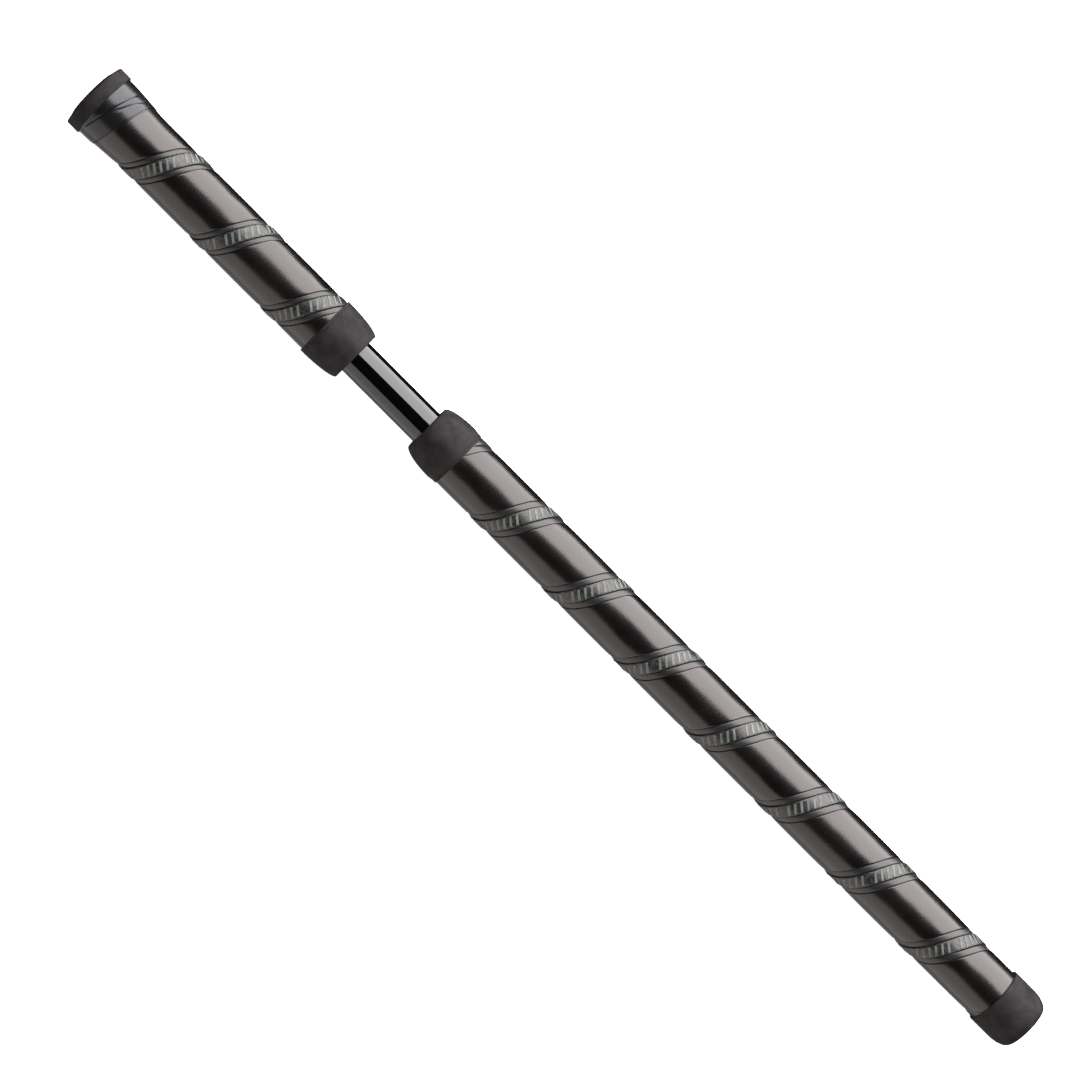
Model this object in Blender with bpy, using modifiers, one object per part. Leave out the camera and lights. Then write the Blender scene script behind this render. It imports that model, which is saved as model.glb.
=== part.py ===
"""A golf swing trainer stick: two handles that face each other across a gap on one polished shaft.

It lies on its side. World X runs along the shaft, from the capped butt of the short upper handle (-X)
to the capped tip of the long lower grip (+X). The world origin is below the middle of its length.

The long grip is bonded to the shaft. The upper handle is a tube that slides and turns on the shaft:
pushed towards the long grip it closes the gap, and a spring inside it pushes it back.

Each piece is modelled along its own Z and hangs from an empty that lays that Z along world X.
"""

import math

import bmesh
import bpy

MM = 0.001

# Lengths along the stick, from the butt to the tip.
BUTT_CAP_LENGTH = 6.6 * MM
UPPER_WRAP_LENGTH = 121.7 * MM
UPPER_COLLAR_LENGTH = 17.0 * MM
OPEN_GAP_LENGTH = 39.5 * MM
LOWER_COLLAR_LENGTH = 17.5 * MM
LOWER_WRAP_LENGTH = 303.4 * MM
TIP_CAP_LENGTH = 18.1 * MM

# The shaft is a standard golf tube with a 0.600 inch butt.
SHAFT_RADIUS = 7.62 * MM
SHAFT_WALL = 1.2 * MM
SHAFT_INTO_TIP_CAP = 11.2 * MM

# Neighbouring pieces keep this clearance, bonded ones too. Chamfers break the edges of turned metal.
CLEARANCE = 0.3 * MM
EDGE_CHAMFER = 0.5 * MM

# Walls that build the two handles up from the shaft.
BUSH_WALL = 1.3 * MM
CORE_TUBE_WALL = 1.2 * MM
SLEEVE_WALL = 2.1 * MM
WRAP_THICKNESS = 1.68 * MM

# How the outside rises and falls from the two grips. A crown, rim or shoulder is how far from a
# piece's open face its rounding reaches.
FLARE_LENGTH = 23.4 * MM
FLARE_RISE = 1.37 * MM
BUTT_CAP_OVERHANG = 0.79 * MM
BUTT_CAP_ROUNDING = 4.7 * MM
BUTT_CAP_RIM = 1.3 * MM
UPPER_COLLAR_RISE = 0.82 * MM
UPPER_COLLAR_ROUNDING = 2.7 * MM
LOWER_COLLAR_RISE = 0.82 * MM
LOWER_COLLAR_ROUNDING = 3.4 * MM
LOWER_COLLAR_CROWN = 13.8 * MM
LOWER_COLLAR_BACK_DROP = 0.25 * MM
LOWER_TAPER_LENGTH = 60.0 * MM
LOWER_TAPER_DROP = 0.45 * MM
TIP_CAP_RISE = 1.0 * MM
TIP_CAP_ROUNDING = 3.4 * MM
TIP_CAP_SHOULDER = 8.1 * MM

# The spiral wrap, one strip on each handle. A start is a number of flats round from the lowest one.
UPPER_WRAP_PITCH = 39.1 * MM
LOWER_WRAP_PITCH = 40.2 * MM
WRAP_SLIT = 0.3 * MM
LOWER_WRAP_START_FLAT = 5
UPPER_WRAP_START_FLAT = 21

# What closes the upper handle's two ends.
CORE_END_INSET = 4.1 * MM
COLLAR_END_WALL = 2.2 * MM
BUSH_FLANGE = 1.5 * MM
BUSH_LENGTH = 29.4 * MM
BUSH_PIN_RADIUS = 1.0 * MM
BUSH_PIN_SETBACK = 9.0 * MM
PLUG_FLANGE = 2.0 * MM
PLUG_BODY_LENGTH = 10.4 * MM
PLUG_PIN_RADIUS = 1.25 * MM
CAP_STEM_RADIUS = 4.0 * MM
CAP_STEM_LENGTH = 7.0 * MM

# The guide that turns on the shaft's inner end, and the screw that holds it there.
GUIDE_END_WALL = 3.0 * MM
GUIDE_SKIRT_LENGTH = 13.4 * MM
DAMPER_LENGTH = 2.0 * MM
WASHER_THICKNESS = 1.0 * MM
INSERT_LENGTH = 22.0 * MM
SCREW_HEAD_RADIUS = 5.0 * MM
SCREW_HEAD_LENGTH = 4.0 * MM
SCREW_SHOULDER_RADIUS = 3.0 * MM
SCREW_THREAD_RADIUS = 2.2 * MM
SCREW_THREAD_LENGTH = 12.0 * MM
SCREW_SOCKET_RADIUS = 2.3 * MM
SCREW_SOCKET_DEPTH = 2.2 * MM
SPRING_OUTER_CLEARANCE = 1.1 * MM
SPRING_INNER_CLEARANCE = 0.6 * MM
SPRING_WIRE_RADIUS = 0.5 * MM
SPRING_TURNS = 12

# The swing weight in the tip end of the shaft.
COUNTERWEIGHT_LENGTH = 80.0 * MM
RETAINER_LENGTH = 11.7 * MM
TIP_PLUG_LENGTH = 25.0 * MM
TIP_PLUG_FLANGE = 2.0 * MM

# Flats round a turned piece and a pin, and points round a turn of the spring.
ROUND_SIDES = 24
PIN_SIDES = 12
SPRING_POINTS_PER_TURN = 14

# Stations along the axis, worked out from the lengths above.
WRAP_TO_WRAP = (
    UPPER_COLLAR_LENGTH + OPEN_GAP_LENGTH + LOWER_COLLAR_LENGTH + 2 * CLEARANCE
)
WHOLE_LENGTH = (
    BUTT_CAP_LENGTH + UPPER_WRAP_LENGTH + WRAP_TO_WRAP + LOWER_WRAP_LENGTH + TIP_CAP_LENGTH + 2 * CLEARANCE
)
BUTT_FACE = -WHOLE_LENGTH / 2
UPPER_WRAP_START = BUTT_FACE + BUTT_CAP_LENGTH + CLEARANCE
UPPER_COLLAR_START = UPPER_WRAP_START + UPPER_WRAP_LENGTH + CLEARANCE
UPPER_COLLAR_FACE = UPPER_COLLAR_START + UPPER_COLLAR_LENGTH
LOWER_COLLAR_FACE = UPPER_COLLAR_FACE + OPEN_GAP_LENGTH
LOWER_WRAP_START = LOWER_COLLAR_FACE + LOWER_COLLAR_LENGTH + CLEARANCE
TIP_CAP_START = LOWER_WRAP_START + LOWER_WRAP_LENGTH + CLEARANCE
SHAFT_TIP_END = TIP_CAP_START + SHAFT_INTO_TIP_CAP
CORE_START = UPPER_WRAP_START + CORE_END_INSET
BUSH_FRONT = UPPER_COLLAR_FACE - COLLAR_END_WALL - CLEARANCE
CORE_END = BUSH_FRONT - BUSH_FLANGE - CLEARANCE
BUSH_BACK = BUSH_FRONT - BUSH_LENGTH
DAMPER_START = BUSH_BACK - CLEARANCE - DAMPER_LENGTH
SHAFT_INNER_END = DAMPER_START - CLEARANCE - GUIDE_SKIRT_LENGTH
GUIDE_START = SHAFT_INNER_END - CLEARANCE - GUIDE_END_WALL
PLUG_FACE = CORE_START - CLEARANCE + PLUG_BODY_LENGTH
WASHER_START = GUIDE_START - CLEARANCE - WASHER_THICKNESS
SCREW_START = WASHER_START - CLEARANCE - SCREW_HEAD_LENGTH

# Radii, built up from the shaft.
SHAFT_BORE_RADIUS = SHAFT_RADIUS - SHAFT_WALL
IN_SHAFT_RADIUS = SHAFT_BORE_RADIUS - CLEARANCE
ON_SHAFT_RADIUS = SHAFT_RADIUS + CLEARANCE
IN_CORE_RADIUS = ON_SHAFT_RADIUS + BUSH_WALL
CORE_BORE_RADIUS = IN_CORE_RADIUS + CLEARANCE
CORE_RADIUS = CORE_BORE_RADIUS + CORE_TUBE_WALL
ON_CORE_RADIUS = CORE_RADIUS + CLEARANCE
UPPER_GRIP_RADIUS = ON_CORE_RADIUS + WRAP_THICKNESS
FLARE_RADIUS = UPPER_GRIP_RADIUS + FLARE_RISE
BUTT_CAP_RADIUS = FLARE_RADIUS + BUTT_CAP_OVERHANG
BUTT_FACE_RADIUS = BUTT_CAP_RADIUS - BUTT_CAP_ROUNDING
UPPER_COLLAR_RADIUS = UPPER_GRIP_RADIUS + UPPER_COLLAR_RISE
UPPER_COLLAR_FACE_RADIUS = UPPER_COLLAR_RADIUS - UPPER_COLLAR_ROUNDING
SLEEVE_RADIUS = ON_SHAFT_RADIUS + SLEEVE_WALL
LOWER_GRIP_END_RADIUS = SLEEVE_RADIUS + CLEARANCE + WRAP_THICKNESS
LOWER_GRIP_RADIUS = LOWER_GRIP_END_RADIUS + LOWER_TAPER_DROP
LOWER_COLLAR_RADIUS = LOWER_GRIP_RADIUS + LOWER_COLLAR_RISE
LOWER_COLLAR_FACE_RADIUS = LOWER_COLLAR_RADIUS - LOWER_COLLAR_ROUNDING
LOWER_COLLAR_BACK_RADIUS = LOWER_COLLAR_RADIUS - LOWER_COLLAR_BACK_DROP
TIP_CAP_RADIUS = LOWER_GRIP_END_RADIUS + TIP_CAP_RISE
TIP_FACE_RADIUS = TIP_CAP_RADIUS - TIP_CAP_ROUNDING
SPRING_RADIUS = CORE_BORE_RADIUS - SPRING_OUTER_CLEARANCE - SPRING_WIRE_RADIUS
WASHER_RADIUS = SPRING_RADIUS - SPRING_WIRE_RADIUS - SPRING_INNER_CLEARANCE
SHOULDER_HOLE_RADIUS = SCREW_SHOULDER_RADIUS + CLEARANCE
AXIS_HEIGHT = BUTT_CAP_RADIUS * math.cos(math.pi / ROUND_SIDES)


def clear_scene():
    for old in list(bpy.data.objects):
        bpy.data.objects.remove(old, do_unlink=True)


def new_collection(name):
    collection = bpy.data.collections.new(name)
    bpy.context.scene.collection.children.link(collection)
    return collection


def finish(name, colour, roughness, metallic=0.0):
    material = bpy.data.materials.new(name)
    material.use_nodes = True
    shader = material.node_tree.nodes["Principled BSDF"]
    shader.inputs["Base Color"].default_value = (*colour, 1.0)
    shader.inputs["Roughness"].default_value = roughness
    shader.inputs["Metallic"].default_value = metallic
    return material


clear_scene()
STICK = new_collection("swing_trainer_stick")
CUTTERS = new_collection("cutters")

RUBBER = finish("charcoal_rubber", (0.035, 0.033, 0.034), 0.62)
WRAP = finish("tacky_wrap", (0.022, 0.020, 0.019), 0.42)
FOAM = finish("sleeve_foam", (0.06, 0.06, 0.065), 0.9)
BLACK_STEEL = finish("gloss_black_steel", (0.012, 0.012, 0.013), 0.12, 0.3)
BARE_STEEL = finish("bright_steel", (0.55, 0.55, 0.56), 0.28, 1.0)
ALUMINIUM = finish("tube_aluminium", (0.72, 0.73, 0.75), 0.35, 1.0)
NYLON = finish("natural_nylon", (0.78, 0.76, 0.70), 0.5)
BLACK_PLASTIC = finish("black_acetal", (0.03, 0.03, 0.03), 0.45)


def add_axis(name, parent=None):
    """An empty on the shaft's axis. Under the first one, Z runs along world X and X points down."""
    axis = bpy.data.objects.new(name, None)
    axis.empty_display_size = 20 * MM
    axis.parent = parent
    STICK.objects.link(axis)
    return axis


STICK_AXIS = add_axis("stick_axis")
STICK_AXIS.location = (0.0, 0.0, AXIS_HEIGHT)
STICK_AXIS.rotation_euler = (0.0, math.radians(90), 0.0)
GUIDE_AXIS = add_axis("guide_axis", STICK_AXIS)
HANDLE_AXIS = add_axis("handle_axis", GUIDE_AXIS)


def place(name, data, axis, station, material=None, collection=STICK):
    """Hangs a mesh or curve from an axis empty, turned so that its flats face down and sideways."""
    piece = bpy.data.objects.new(name, data)
    collection.objects.link(piece)
    piece.parent = axis
    piece.location = (0.0, 0.0, station)
    piece.rotation_euler = (0.0, 0.0, math.pi / ROUND_SIDES)
    if material:
        data.materials.append(material)
    return piece


def as_cutter(piece):
    """Keeps a shape out of the object: it only cuts or trims others."""
    piece.hide_render = True
    piece.display_type = "WIRE"
    return piece


def smooth(mesh):
    mesh.shade_smooth()
    mesh.set_sharp_from_angle(angle=math.radians(30))


def turned(name, axis, station, outline, material=None, collection=STICK):
    """A turned piece. The outline is (distance from its station, radius) points, outer side first from
    the +X end. One that starts and ends on the axis is solid; any other closes into a ring."""
    mesh = bpy.data.meshes.new(name)
    points = [(radius, 0.0, along) for along, radius in outline]
    edges = [(i, i + 1) for i in range(len(points) - 1)]
    if outline[0][1] > 0:
        edges.append((len(points) - 1, 0))
    mesh.from_pydata(points, edges, [])
    piece = place(name, mesh, axis, station, material, collection)
    screw = piece.modifiers.new("turn", "SCREW")
    screw.axis = "Z"
    screw.steps = ROUND_SIDES
    screw.render_steps = ROUND_SIDES
    screw.use_merge_vertices = True
    screw.merge_threshold = 0.01 * MM
    screw.use_smooth_shade = False
    return piece


def arc(along, radius, reach_along, reach_out, first, last, steps):
    """Points on an ellipse about (along, radius), from the first to the last angle in degrees.
    At 0 it points to +X, and at 90 away from the axis."""
    points = []
    for step in range(steps + 1):
        angle = math.radians(first + (last - first) * step / steps)
        points.append((along + reach_along * math.cos(angle), radius + reach_out * math.sin(angle)))
    return points


def ring(length, outer, inner):
    return [(length, outer), (0.0, outer), (0.0, inner), (length, inner)]


def bar(length, radius, chamfer=EDGE_CHAMFER):
    return [
        (length, 0.0),
        (length, radius - chamfer),
        (length - chamfer, radius),
        (chamfer, radius),
        (0.0, radius - chamfer),
        (0.0, 0.0),
    ]


def cross_pin(name, axis, station, radius, inner, outer, material=None, collection=STICK, side=1):
    """A round pin across the axis, from the inner to the outer distance on one side of it."""
    mesh = bpy.data.meshes.new(name)
    shape = bmesh.new()
    bmesh.ops.create_cone(
        shape,
        cap_ends=True,
        segments=PIN_SIDES,
        radius1=radius,
        radius2=radius,
        depth=outer - inner,
    )
    shape.to_mesh(mesh)
    shape.free()
    pin = place(name, mesh, axis, station, material, collection)
    pin.rotation_euler = (math.radians(90), 0.0, 0.0)
    pin.location.y = side * (outer + inner) / 2
    return pin


def cut(piece, cutter, operation="DIFFERENCE"):
    boolean = piece.modifiers.new(cutter.name, "BOOLEAN")
    boolean.operation = operation
    boolean.solver = "EXACT"
    boolean.object = cutter


def flare_outline(start, end, steps=8):
    """The upper grip's outer side from the end back to the start, easing out to the cap's rim."""
    points = []
    for step in range(steps + 1):
        along = end + (start - end) * step / steps
        ease = 0.5 + 0.5 * math.cos(math.pi * min(along / FLARE_LENGTH, 1.0))
        points.append((along, UPPER_GRIP_RADIUS + (FLARE_RADIUS - UPPER_GRIP_RADIUS) * ease))
    return points


def wrapped(name, axis, station, length, outer_side, pitch, start_flat):
    """A strip wound left-handed round a handle, with a slit between its turns. It is swept over length
    and then trimmed to a sleeve of the wrap's own thickness under the outer side."""
    strip_outer = max(radius for _, radius in outer_side) + WRAP_THICKNESS
    strip_inner = min(radius for _, radius in outer_side) - 2 * WRAP_THICKNESS
    turns = math.ceil(length / pitch) + 3
    mesh = bpy.data.meshes.new(name)
    mesh.from_pydata(
        [(strip_outer, 0.0, pitch - WRAP_SLIT), (strip_outer, 0.0, 0.0)], [(0, 1)], []
    )
    strip = place(name, mesh, axis, station + length + pitch, WRAP)
    strip.rotation_euler.z += start_flat * 2 * math.pi / ROUND_SIDES
    screw = strip.modifiers.new("wind", "SCREW")
    screw.axis = "Z"
    screw.screw_offset = -pitch
    screw.iterations = turns
    screw.steps = ROUND_SIDES
    screw.render_steps = ROUND_SIDES
    screw.use_smooth_shade = False
    screw.use_merge_vertices = False
    shell = strip.modifiers.new("thicken", "SOLIDIFY")
    shell.thickness = strip_outer - strip_inner
    shell.offset = -1.0
    inner_side = [(along, radius - WRAP_THICKNESS) for along, radius in reversed(outer_side)]
    trim = as_cutter(turned(name + "_trim", axis, station, outer_side + inner_side, None, CUTTERS))
    cut(strip, trim, "INTERSECT")
    return strip


def build_shaft():
    turned(
        "shaft",
        STICK_AXIS,
        SHAFT_INNER_END,
        ring(SHAFT_TIP_END - SHAFT_INNER_END, SHAFT_RADIUS, SHAFT_BORE_RADIUS),
        BLACK_STEEL,
    )


def build_long_grip():
    """The long lower grip: a foam sleeve on the shaft, the wrap round it, and a collar at its face."""
    turned(
        "lower_grip_sleeve",
        STICK_AXIS,
        LOWER_WRAP_START,
        ring(LOWER_WRAP_LENGTH, SLEEVE_RADIUS, ON_SHAFT_RADIUS),
        FOAM,
    )
    taper_start = LOWER_WRAP_LENGTH - LOWER_TAPER_LENGTH
    outer_side = [
        (LOWER_WRAP_LENGTH, LOWER_GRIP_END_RADIUS),
        (taper_start, LOWER_GRIP_RADIUS),
        (0.0, LOWER_GRIP_RADIUS),
    ]
    wrapped(
        "lower_grip_wrap",
        STICK_AXIS,
        LOWER_WRAP_START,
        LOWER_WRAP_LENGTH,
        outer_side,
        LOWER_WRAP_PITCH,
        LOWER_WRAP_START_FLAT,
    )
    crown_rise = LOWER_COLLAR_RADIUS - LOWER_COLLAR_FACE_RADIUS
    barrel = arc(
        LOWER_COLLAR_CROWN, LOWER_COLLAR_FACE_RADIUS, LOWER_COLLAR_CROWN, crown_rise, 90, 180, 7
    )
    turned(
        "lower_collar",
        STICK_AXIS,
        LOWER_COLLAR_FACE,
        [(LOWER_COLLAR_LENGTH, LOWER_COLLAR_BACK_RADIUS)]
        + barrel
        + [(0.0, ON_SHAFT_RADIUS), (LOWER_COLLAR_LENGTH, ON_SHAFT_RADIUS)],
        RUBBER,
    )


def build_tip():
    """The tip cap, the plug under it, and the swing weight that the plug holds in the shaft."""
    corner = arc(
        TIP_CAP_LENGTH - TIP_CAP_SHOULDER,
        TIP_FACE_RADIUS,
        TIP_CAP_SHOULDER,
        TIP_CAP_RADIUS - TIP_FACE_RADIUS,
        0,
        90,
        6,
    )
    bore_end = SHAFT_TIP_END + TIP_PLUG_FLANGE + 2 * CLEARANCE - TIP_CAP_START
    turned(
        "tip_cap",
        STICK_AXIS,
        TIP_CAP_START,
        [(TIP_CAP_LENGTH, 0.0)]
        + corner
        + [(0.0, TIP_CAP_RADIUS), (0.0, ON_SHAFT_RADIUS), (bore_end, ON_SHAFT_RADIUS), (bore_end, 0.0)],
        RUBBER,
    )
    plug_start = SHAFT_TIP_END + CLEARANCE - TIP_PLUG_LENGTH
    plug_end = TIP_PLUG_LENGTH + TIP_PLUG_FLANGE
    turned(
        "tip_plug",
        STICK_AXIS,
        plug_start,
        [
            (plug_end, 0.0),
            (plug_end, SHAFT_RADIUS),
            (TIP_PLUG_LENGTH, SHAFT_RADIUS),
            (TIP_PLUG_LENGTH, IN_SHAFT_RADIUS),
            (0.0, IN_SHAFT_RADIUS),
            (0.0, 0.0),
        ],
        BLACK_PLASTIC,
    )
    weight_start = plug_start - CLEARANCE - COUNTERWEIGHT_LENGTH
    turned(
        "counterweight",
        STICK_AXIS,
        weight_start,
        bar(COUNTERWEIGHT_LENGTH, IN_SHAFT_RADIUS),
        BARE_STEEL,
    )
    turned(
        "weight_retainer",
        STICK_AXIS,
        weight_start - CLEARANCE - RETAINER_LENGTH,
        bar(RETAINER_LENGTH, IN_SHAFT_RADIUS),
        RUBBER,
    )


def build_shaft_inner_end():
    """A threaded insert bonded in the shaft's inner end, and the shoulder screw that runs into it."""
    hole_radius = SCREW_THREAD_RADIUS + CLEARANCE
    hole_depth = SCREW_THREAD_LENGTH + CLEARANCE
    turned(
        "shaft_insert",
        STICK_AXIS,
        SHAFT_INNER_END,
        [
            (INSERT_LENGTH, 0.0),
            (INSERT_LENGTH, IN_SHAFT_RADIUS),
            (0.0, IN_SHAFT_RADIUS),
            (0.0, hole_radius),
            (hole_depth, hole_radius),
            (hole_depth, 0.0),
        ],
        ALUMINIUM,
    )
    shoulder_end = SHAFT_INNER_END - CLEARANCE - SCREW_START
    thread_end = shoulder_end + SCREW_THREAD_LENGTH
    screw = turned(
        "shoulder_screw",
        STICK_AXIS,
        SCREW_START,
        [
            (thread_end, 0.0),
            (thread_end, SCREW_THREAD_RADIUS),
            (shoulder_end, SCREW_THREAD_RADIUS),
            (shoulder_end, SCREW_SHOULDER_RADIUS),
            (SCREW_HEAD_LENGTH, SCREW_SHOULDER_RADIUS),
            (SCREW_HEAD_LENGTH, SCREW_HEAD_RADIUS),
            (EDGE_CHAMFER, SCREW_HEAD_RADIUS),
            (0.0, SCREW_HEAD_RADIUS - EDGE_CHAMFER),
            (0.0, 0.0),
        ],
        BARE_STEEL,
    )
    socket_mesh = bpy.data.meshes.new("screw_socket")
    shape = bmesh.new()
    bmesh.ops.create_cone(
        shape,
        cap_ends=True,
        segments=6,
        radius1=SCREW_SOCKET_RADIUS,
        radius2=SCREW_SOCKET_RADIUS,
        depth=2 * SCREW_SOCKET_DEPTH,
    )
    shape.to_mesh(socket_mesh)
    shape.free()
    socket = place("screw_socket", socket_mesh, STICK_AXIS, SCREW_START, None, CUTTERS)
    cut(screw, as_cutter(socket))


def build_guide():
    """What turns on the shaft's inner end: a cup that guides the core tube, its washer and damper."""
    cup_length = DAMPER_START - CLEARANCE - GUIDE_START
    turned(
        "end_guide",
        GUIDE_AXIS,
        GUIDE_START,
        [
            (cup_length, IN_CORE_RADIUS),
            (0.0, IN_CORE_RADIUS),
            (0.0, SHOULDER_HOLE_RADIUS),
            (GUIDE_END_WALL, SHOULDER_HOLE_RADIUS),
            (GUIDE_END_WALL, ON_SHAFT_RADIUS),
            (cup_length, ON_SHAFT_RADIUS),
        ],
        NYLON,
    )
    turned(
        "thrust_washer",
        GUIDE_AXIS,
        WASHER_START,
        ring(WASHER_THICKNESS, WASHER_RADIUS, SHOULDER_HOLE_RADIUS),
        BARE_STEEL,
    )
    turned(
        "damper_ring",
        GUIDE_AXIS,
        DAMPER_START,
        ring(DAMPER_LENGTH, IN_CORE_RADIUS, ON_SHAFT_RADIUS),
        RUBBER,
    )


def build_spring():
    """The return spring between the guide and the butt plug, with a closed turn at each end."""
    room = GUIDE_START - PLUG_FACE - 2 * CLEARANCE - 2 * SPRING_WIRE_RADIUS
    closed_rise = 2 * SPRING_WIRE_RADIUS + CLEARANCE
    open_rise = (room - 2 * closed_rise) / (SPRING_TURNS - 2)
    curve = bpy.data.curves.new("return_spring", "CURVE")
    curve.dimensions = "3D"
    curve.bevel_depth = SPRING_WIRE_RADIUS
    curve.bevel_resolution = 2
    curve.use_fill_caps = True
    count = SPRING_TURNS * SPRING_POINTS_PER_TURN + 1
    wire = curve.splines.new("POLY")
    wire.points.add(count - 1)
    for index in range(count):
        turn = index / SPRING_POINTS_PER_TURN
        angle = 2 * math.pi * turn
        open_turns = min(max(turn - 1, 0), SPRING_TURNS - 2)
        along = closed_rise * (turn - open_turns) + open_rise * open_turns
        wire.points[index].co = (
            SPRING_RADIUS * math.cos(angle),
            SPRING_RADIUS * math.sin(angle),
            along,
            1.0,
        )
    place(
        "return_spring", curve, GUIDE_AXIS, PLUG_FACE + CLEARANCE + SPRING_WIRE_RADIUS, BARE_STEEL
    )


def build_core():
    """The upper handle's tube, the bush pinned in its front and the plug pinned in its butt."""
    core = turned(
        "core_tube",
        HANDLE_AXIS,
        CORE_START,
        ring(CORE_END - CORE_START, CORE_RADIUS, CORE_BORE_RADIUS),
        ALUMINIUM,
    )
    flange_start = BUSH_LENGTH - BUSH_FLANGE
    bush = turned(
        "front_bush",
        HANDLE_AXIS,
        BUSH_BACK,
        [
            (BUSH_LENGTH, CORE_RADIUS),
            (flange_start, CORE_RADIUS),
            (flange_start, IN_CORE_RADIUS),
            (0.0, IN_CORE_RADIUS),
            (0.0, ON_SHAFT_RADIUS),
            (BUSH_LENGTH, ON_SHAFT_RADIUS),
        ],
        BLACK_PLASTIC,
    )
    pin_station = CORE_END - BUSH_PIN_SETBACK
    pin_hole = cross_pin(
        "bush_pin_hole",
        HANDLE_AXIS,
        pin_station,
        BUSH_PIN_RADIUS + CLEARANCE,
        -2 * CORE_RADIUS,
        2 * CORE_RADIUS,
        None,
        CUTTERS,
    )
    cut(core, as_cutter(pin_hole))
    cut(bush, pin_hole)
    for name, side in (("bush_pin_left", 1), ("bush_pin_right", -1)):
        cross_pin(
            name,
            HANDLE_AXIS,
            pin_station,
            BUSH_PIN_RADIUS,
            ON_SHAFT_RADIUS + CLEARANCE,
            CORE_RADIUS - CLEARANCE / 2,
            BARE_STEEL,
            side=side,
        )
    plug_start = CORE_START - CLEARANCE - PLUG_FLANGE
    plug_end = PLUG_FACE - plug_start
    stem_hole_radius = CAP_STEM_RADIUS + CLEARANCE
    stem_hole_depth = BUTT_FACE + BUTT_CAP_LENGTH + CAP_STEM_LENGTH + CLEARANCE - plug_start
    plug = turned(
        "butt_plug",
        HANDLE_AXIS,
        plug_start,
        [
            (plug_end, 0.0),
            (plug_end, IN_CORE_RADIUS),
            (PLUG_FLANGE, IN_CORE_RADIUS),
            (PLUG_FLANGE, CORE_RADIUS),
            (0.0, CORE_RADIUS),
            (0.0, stem_hole_radius),
            (stem_hole_depth, stem_hole_radius),
            (stem_hole_depth, 0.0),
        ],
        BLACK_PLASTIC,
    )
    plug_pin_station = (PLUG_FACE + plug_start + stem_hole_depth) / 2
    plug_pin_hole = cross_pin(
        "plug_pin_hole",
        HANDLE_AXIS,
        plug_pin_station,
        PLUG_PIN_RADIUS + CLEARANCE,
        -2 * CORE_RADIUS,
        2 * CORE_RADIUS,
        None,
        CUTTERS,
    )
    cut(core, as_cutter(plug_pin_hole))
    cut(plug, plug_pin_hole)
    cross_pin(
        "plug_pin",
        HANDLE_AXIS,
        plug_pin_station,
        PLUG_PIN_RADIUS,
        -(CORE_RADIUS - CLEARANCE / 2),
        CORE_RADIUS - CLEARANCE / 2,
        BARE_STEEL,
    )


def build_upper_grip():
    """The upper handle's skin: the wrap, the sleeve that fills its flare, its collar and butt cap."""
    outer_side = flare_outline(0.0, FLARE_LENGTH)
    wrapped(
        "upper_grip_wrap",
        HANDLE_AXIS,
        UPPER_WRAP_START,
        UPPER_WRAP_LENGTH,
        [(UPPER_WRAP_LENGTH, UPPER_GRIP_RADIUS)] + outer_side,
        UPPER_WRAP_PITCH,
        UPPER_WRAP_START_FLAT,
    )
    under_flare = [
        (along, radius - WRAP_THICKNESS - CLEARANCE)
        for along, radius in flare_outline(0.0, FLARE_LENGTH / 2, 4)
    ]
    turned(
        "flare_sleeve",
        HANDLE_AXIS,
        UPPER_WRAP_START,
        under_flare + [(0.0, ON_CORE_RADIUS), (FLARE_LENGTH / 2, ON_CORE_RADIUS)],
        FOAM,
    )
    collar_rise = UPPER_COLLAR_RADIUS - UPPER_COLLAR_FACE_RADIUS
    inner_step = UPPER_COLLAR_LENGTH - COLLAR_END_WALL
    turned(
        "upper_collar",
        HANDLE_AXIS,
        UPPER_COLLAR_START,
        [(UPPER_COLLAR_LENGTH, ON_SHAFT_RADIUS)]
        + arc(0.0, UPPER_COLLAR_FACE_RADIUS, UPPER_COLLAR_LENGTH, collar_rise, 0, 90, 7)
        + [(0.0, ON_CORE_RADIUS), (inner_step, ON_CORE_RADIUS), (inner_step, ON_SHAFT_RADIUS)],
        RUBBER,
    )
    rim_rise = BUTT_CAP_RADIUS - BUTT_FACE_RADIUS
    stem_end = BUTT_CAP_LENGTH + CAP_STEM_LENGTH
    turned(
        "butt_cap",
        HANDLE_AXIS,
        BUTT_FACE,
        [
            (stem_end, 0.0),
            (stem_end, CAP_STEM_RADIUS - EDGE_CHAMFER),
            (stem_end - EDGE_CHAMFER, CAP_STEM_RADIUS),
            (BUTT_CAP_LENGTH, CAP_STEM_RADIUS),
            (BUTT_CAP_LENGTH, BUTT_CAP_RADIUS - EDGE_CHAMFER),
            (BUTT_CAP_LENGTH - EDGE_CHAMFER, BUTT_CAP_RADIUS),
        ]
        + arc(BUTT_CAP_RIM, BUTT_FACE_RADIUS, BUTT_CAP_RIM, rim_rise, 90, 180, 4)
        + [(0.0, 0.0)],
        RUBBER,
    )


build_shaft()
build_long_grip()
build_tip()
build_shaft_inner_end()
build_guide()
build_spring()
build_core()
build_upper_grip()

for piece in list(STICK.objects) + list(CUTTERS.objects):
    if piece.type == "MESH" and piece.data.polygons:
        smooth(piece.data)
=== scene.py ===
import math

import bmesh
import bpy
from mathutils import Matrix, Vector


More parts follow.
